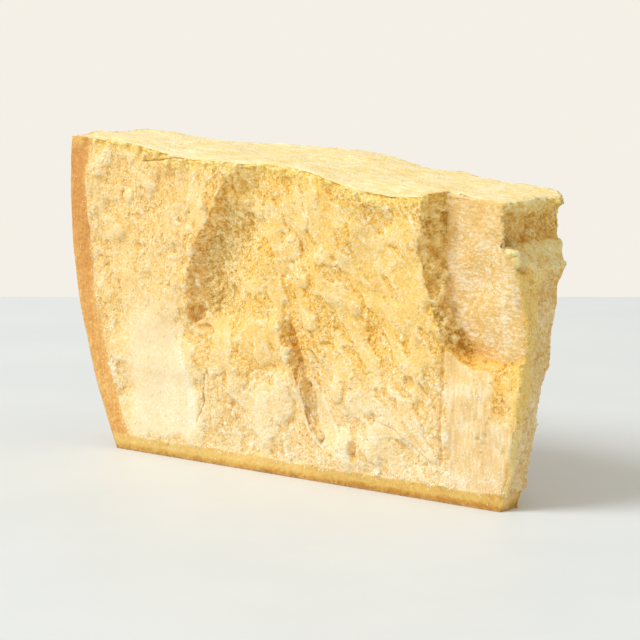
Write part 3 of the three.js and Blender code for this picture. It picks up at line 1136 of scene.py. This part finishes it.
def pasteShade(tree, look):
    # Amber in the recesses, straw between, cream to white on the raised grains; the amber in the recesses
    # is partly painted shade
    tone = look["tone"]
    paste = ramp(tree, tone, [
        (0.0, colour(218, 154, 48)),
        (0.2, colour(240, 188, 78)),
        (0.4, colour(248, 203, 107)),
        (0.56, colour(251, 212, 131)),
        (0.74, colour(254, 226, 168)),
        (0.96, colour(255, 247, 222)),
    ])
    creamy = ramp(tree, tone, [
        (0.1, colour(240, 202, 134)),
        (0.5, colour(251, 221, 171)),
        (0.9, colour(255, 243, 216)),
    ])
    begin, end = (fromCorner((x, 0, 0))[0] for x in shadeLimits["creamyLeft"])
    onLeft = step(tree, look["across"], begin, end, 0.4, 0.0)
    cream = most(tree, onLeft, times(tree, look["lower"], 0.55), times(tree, look["pale"], 0.85))
    paste = blendColours(tree, cream, paste, creamy)
    # Painted shade: the hollow, the scoop's wall and the end's bite turn darker and olive
    paintedShadeOlive = ramp(tree, tone, [
        (0.1, colour(200, 154, 64)),
        (0.45, colour(240, 203, 118)),
        (0.8, colour(254, 240, 190)),
    ])
    shaded = most(tree, look["sunk"], look["scoopWall"], look["bite"])
    paste = blendColours(tree, times(tree, shaded, 0.75), paste, paintedShadeOlive)
    # Painted light: the ledge and the fringe under the top edge are lit golden; the knob and the bite's
    # rolled top are golden too
    rolledGold = times(tree, times(tree, look["bite"], look["rolled"]), 3.0)
    goldAndPaintedLight = most(tree, look["fringe"], look["ledge"], look["knob"], rolledGold)
    paste = blendColours(tree, times(tree, goldAndPaintedLight, 0.8), paste, look["golden"])
    # Painted glow: the thin strip down the upright corner is golden as if light came through it
    paintedGlow = ramp(tree, tone, [
        (0.1, colour(214, 152, 48)),
        (0.5, colour(240, 202, 104)),
        (0.9, colour(252, 232, 160)),
    ])
    return blendColours(tree, times(tree, look["strip"], 0.8), paste, paintedGlow)


def streakedShade(tree, look, paste):
    # Level streaks on the scoop's floor, upright ones under it and on the end, drawn ones on top
    warped, patch, smallCells = look["warped"], look["patch"], look["smallCells"]
    streaks = grainNoise(tree, warped, 1.0, 3, 0.65, stretch=(2.2, 2.2, 0.6))
    faded = step(tree, look["height"], *shadeLimits["scoopFade"], 1.0, 0.35)  # smoother towards the top
    streaks = calc(tree, "MULTIPLY_ADD", scaled(tree, streaks, 0.5, 1.0), faded, 0.5)
    scoopTone = add(tree, streaks, scaled(tree, smallCells, 0.5, 0.12), scaled(tree, patch, 0.5, 0.5))
    scoopShade = ramp(tree, step(tree, scoopTone, 0.34, 0.7), [
        (0.0, colour(230, 188, 112)),
        (0.5, colour(239, 208, 148)),
        (1.0, colour(251, 237, 208)),
    ])
    paste = blendColours(tree, times(tree, look["scoop"], 0.85), paste, scoopShade)
    drawn = grainNoise(tree, warped, 1.0, 3, 0.6, stretch=(1.3, 1.3, 6))
    cutTone = add(tree, drawn, scaled(tree, patch, 0.5, 0.6), scaled(tree, look["fine"], 0.5, 0.4))
    cutShade = ramp(tree, step(tree, cutTone, 0.25, 0.75), [
        (0.0, colour(228, 188, 116)),
        (0.5, colour(238, 207, 148)),
        (1.0, colour(251, 235, 200)),
    ])
    paste = blendColours(tree, times(tree, look["cut"], 0.75), paste, cutShade)
    fibres = grainNoise(tree, look["place"], 1.0, 4, 0.65, stretch=(9, 1.0, 3))
    topShade = ramp(tree, step(tree, add(tree, fibres, scaled(tree, patch, 0.5, 0.4)), 0.3, 0.7), [
        (0.0, colour(240, 210, 126)),
        (0.5, colour(250, 231, 172)),
        (1.0, colour(255, 246, 214)),
    ])
    paste = blendColours(tree, times(tree, look["top"], 0.7), paste, topShade)
    dusty = grainNoise(tree, warped, 0.8, 3, 0.7, stretch=(1, 1, 1.8))
    dustTone = add(tree, dusty, scaled(tree, smallCells, 0.5, 0.2), scaled(tree, patch, 0.5, 0.4))
    endShade = ramp(tree, step(tree, dustTone, 0.28, 0.76), [
        (0.0, colour(210, 166, 86)),
        (0.5, colour(236, 202, 130)),
        (1.0, colour(255, 241, 208)),
    ])
    notPlain = most(tree, look["bite"], look["ledge"], look["strip"])
    plainEnd = calc(tree, "SUBTRACT", look["end"], notPlain, clamp=True)
    return blendColours(tree, times(tree, plainEnd, 0.65), paste, endShade)


def markedShade(tree, look, paste):
    # Amber spots, painted shade in the end's cavity, split, inner corner and groove, white flecks that
    # are partly painted glints, and painted shade along the cracks
    # Amber in the end's cavity and along the foot's split is painted shade; the end's small spot is an
    # amber mark
    spots = most(tree, look["spot"], look["split"])
    paste = blendColours(tree, times(tree, spots, 0.8), paste, colour(196, 140, 36))
    # Painted shade: dark brown in the bite's inner corner and the groove around the knob
    paste = blendColours(tree, times(tree, look["deep"], 0.75), paste, colour(132, 96, 40))
    paste = blendColours(tree, times(tree, look["edgeLine"], 0.4), paste, colour(255, 244, 214))
    flecksAndGlints = cellNode(tree, look["warped"], 1.7)
    chance = addNode(tree, "ShaderNodeSeparateColor", {0: flecksAndGlints.outputs["Color"]}).outputs[1]
    # The flecks, partly painted glints, are denser along the rind and on the chalky parts
    limit = calc(tree, "MULTIPLY_ADD", most(tree, look["chalk"], look["rindLine"]), -0.45, 0.93)
    chosen = calc(tree, "GREATER_THAN", chance, limit)
    fleckAndGlint = times(tree, step(tree, flecksAndGlints.outputs[0], 0.12, 0.32, 1, 0), chosen)
    paste = blendColours(tree, times(tree, fleckAndGlint, 0.7), paste, colour(255, 247, 224))
    return blendColours(tree, crackShadeShare(tree, look["warped"]), paste, colour(182, 124, 48))


def rindShade(tree, look, paste):
    # Rind, seen cut through as a band and from outside as the wheel's skin; gives the bands too
    height, patch, wallDepth = look["height"], look["patch"], look["wallDepth"]
    grainy = grainNoise(tree, look["place"], 0.9, 4, 0.65, stretch=(2, 2, 1.4))
    upright = grainNoise(tree, look["warped"], 1.0, 3, 0.6, stretch=(0.7, 0.7, 7))
    wallTone = add(tree, 0.5, scaled(tree, grainy, 0.5, 0.9), scaled(tree, patch, 0.5, 0.5))
    footTone = add(tree, wallTone, step(tree, height, *shadeLimits["footEdge"], -0.35, 0.0))
    farSide = fromCorner((shadeLimits["farSide"], 0, 0))[0]
    footTone = add(tree, footTone, step(tree, look["across"], farSide - 0.15, farSide, 0.1, -0.07))
    footTone = calc(tree, "MULTIPLY_ADD", look["end"], 0.22, footTone)
    wallTone = add(
        tree,
        wallTone,
        scaled(tree, upright, 0.5, 0.8),
        scaled(tree, look["fine"], 0.5, 0.7),
        step(tree, wallDepth, 0.4, 2.4, 0.1, 0.0),
        step(tree, wallDepth, 6.0, 9.4, 0.0, 0.1),
        step(tree, height, *shadeLimits["wallLow"], 0.02, -0.18),
    )
    wallShade = ramp(tree, wallTone, [
        (0.2, colour(208, 144, 72)),
        (0.5, colour(228, 172, 94)),
        (0.8, colour(243, 204, 132)),
    ])
    bandHigh = step(tree, height, *shadeLimits["wallTop"], 0.0, 0.35)
    wallShade = blendColours(tree, bandHigh, wallShade, look["golden"])
    footShade = ramp(tree, footTone, [
        (0.1, colour(194, 138, 52)),
        (0.4, colour(224, 184, 98)),
        (0.6, colour(234, 197, 116)),
        (0.9, colour(246, 220, 158)),
    ])
    skinShade = ramp(tree, wallTone, [
        (0.2, colour(176, 120, 60)),
        (0.5, colour(206, 154, 86)),
        (0.8, colour(226, 182, 116)),
    ])
    bandDepth = add(tree, wallDepth, scaled(tree, patch, 0.5, 2.0), times(tree, look["top"], 7.6))
    wallBand = step(tree, bandDepth, cheese["wallRind"] - 0.7, cheese["wallRind"] + 0.3, 1, 0)
    footLimit = cheese["footRind"] * mm
    lowHeight = add(tree, height, scaled(tree, patch, 0.5, 0.0022))
    footBand = step(tree, lowHeight, footLimit - 0.0008, footLimit + 0.0002, 1, 0)
    shade = blendColours(tree, wallBand, paste, wallShade)
    shade = blendColours(tree, footBand, shade, footShade)
    skin = most(tree, look["outer"], step(tree, height, *shadeLimits["underside"], 1, 0))
    return blendColours(tree, skin, shade, skinShade), most(tree, wallBand, footBand)


def makePaste(title, glow):
    # The glow is how much light goes through; small crumbs have none, or they would turn grey
    material = bpy.data.materials.new(title)
    material.use_nodes = True
    tree = material.node_tree
    surface = tree.nodes["Principled BSDF"]
    look = readSurface(tree)
    look["tone"] = findTone(tree, look)
    look["golden"] = ramp(tree, look["tone"], [
        (0.1, colour(232, 172, 60)),
        (0.5, colour(253, 219, 118)),
        (0.9, colour(255, 243, 184)),
    ])
    paste = pasteShade(tree, look)
    paste = streakedShade(tree, look, paste)
    paste = markedShade(tree, look, paste)
    shade, rind = rindShade(tree, look, paste)
    tree.links.new(shade, surface.inputs["Base Color"])

    grit = cellNode(tree, look["warped"], 1.25).outputs[0]
    bumpHeight = add(
        tree,
        times(tree, look["medium"], 0.4),
        times(tree, look["fine"], 0.4),
        times(tree, grit, -0.5),
    )
    calm = most(tree, rind, look["cut"], look["pale"], look["strip"])
    bumpInputs = {"Strength": step(tree, calm, 0, 1, 0.7, 0.25), "Distance": 0.0008, "Height": bumpHeight}
    bump = addNode(tree, "ShaderNodeBump", bumpInputs)
    tree.links.new(bump.outputs[0], surface.inputs["Normal"])
    tree.links.new(step(tree, look["fine"], 0.3, 0.7, 0.55, 0.72), surface.inputs["Roughness"])
    surface.inputs["Specular IOR Level"].default_value = 0.35
    surface.inputs["Subsurface Weight"].default_value = glow
    surface.inputs["Subsurface Radius"].default_value = (1.0, 0.9, 0.7)
    surface.inputs["Subsurface Scale"].default_value = 0.0009
    return material


def makeCrystalAndGlint():
    # White crystals, partly painted glints
    material = bpy.data.materials.new("white crystals")
    material.use_nodes = True
    tree = material.node_tree
    surface = tree.nodes["Principled BSDF"]
    place = addNode(tree, "ShaderNodeTexCoord").outputs["Object"]
    cloudy = grainNoise(tree, place, 0.7, 3)
    shade = ramp(tree, add(tree, cloudy, scaled(tree, attribute(tree, "recess"), 0.35, 0.2)), [
        (0.2, colour(254, 234, 182)),
        (0.4, colour(255, 246, 220)),
        (0.6, colour(255, 253, 244)),
    ])
    tree.links.new(shade, surface.inputs["Base Color"])
    tree.links.new(step(tree, cloudy, 0.3, 0.7, 0.4, 0.65), surface.inputs["Roughness"])
    surface.inputs["Specular IOR Level"].default_value = 0.45
    return material


cheeseBody = makeCheese()
hosts = readHosts(cheeseBody)
breaks = hosts["front"] + hosts["back"] + hosts["end"]
quiet = np.maximum.reduce([hosts["pale"], hosts["cut"], hosts["scoop"], hosts["strip"], hosts["rind"]])
depthUnder = topEdge(hosts["place"][:, 0]) - hosts["place"][:, 2]
crumbly = breaks * (1 - quiet) * (1 - 0.8 * hosts["plateau"]) * smooth(depthUnder, 1, 3)
lowLine = hosts["rindLine"] * (1 + 2 * (hosts["place"][:, 2] < 12))
flatter = smooth(np.abs(hosts["normal"]).max(axis=1), 0.78, 0.94)  # where crystals sit
whiter = crumbly * 0.12 + breaks * (0.04 + 0.9 * hosts["chalk"] + 0.8 * lowLine + 0.06 * hosts["pale"])
crumbPaste = makePaste("cheese crumbs", 0.0)
pieces = [
    (cheeseBody, makePaste("cheese paste and rind", 0.35)),
    (scatterCrumbs(curds, hosts, crumbly * (1 - 0.8 * hosts["end"])), crumbPaste),
    (scatterCrumbs(granules, hosts, crumbly + 0.1 * breaks * (1 - hosts["rind"])), crumbPaste),
    (scatterCrumbs(crystalsAndGlints, hosts, flatter * (whiter + 0.05 * hosts["top"])), makeCrystalAndGlint()),
]
for piece, material in pieces:
    piece.data.materials.append(material)
    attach(piece, "root")
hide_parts("wedge")


print("scene ready")
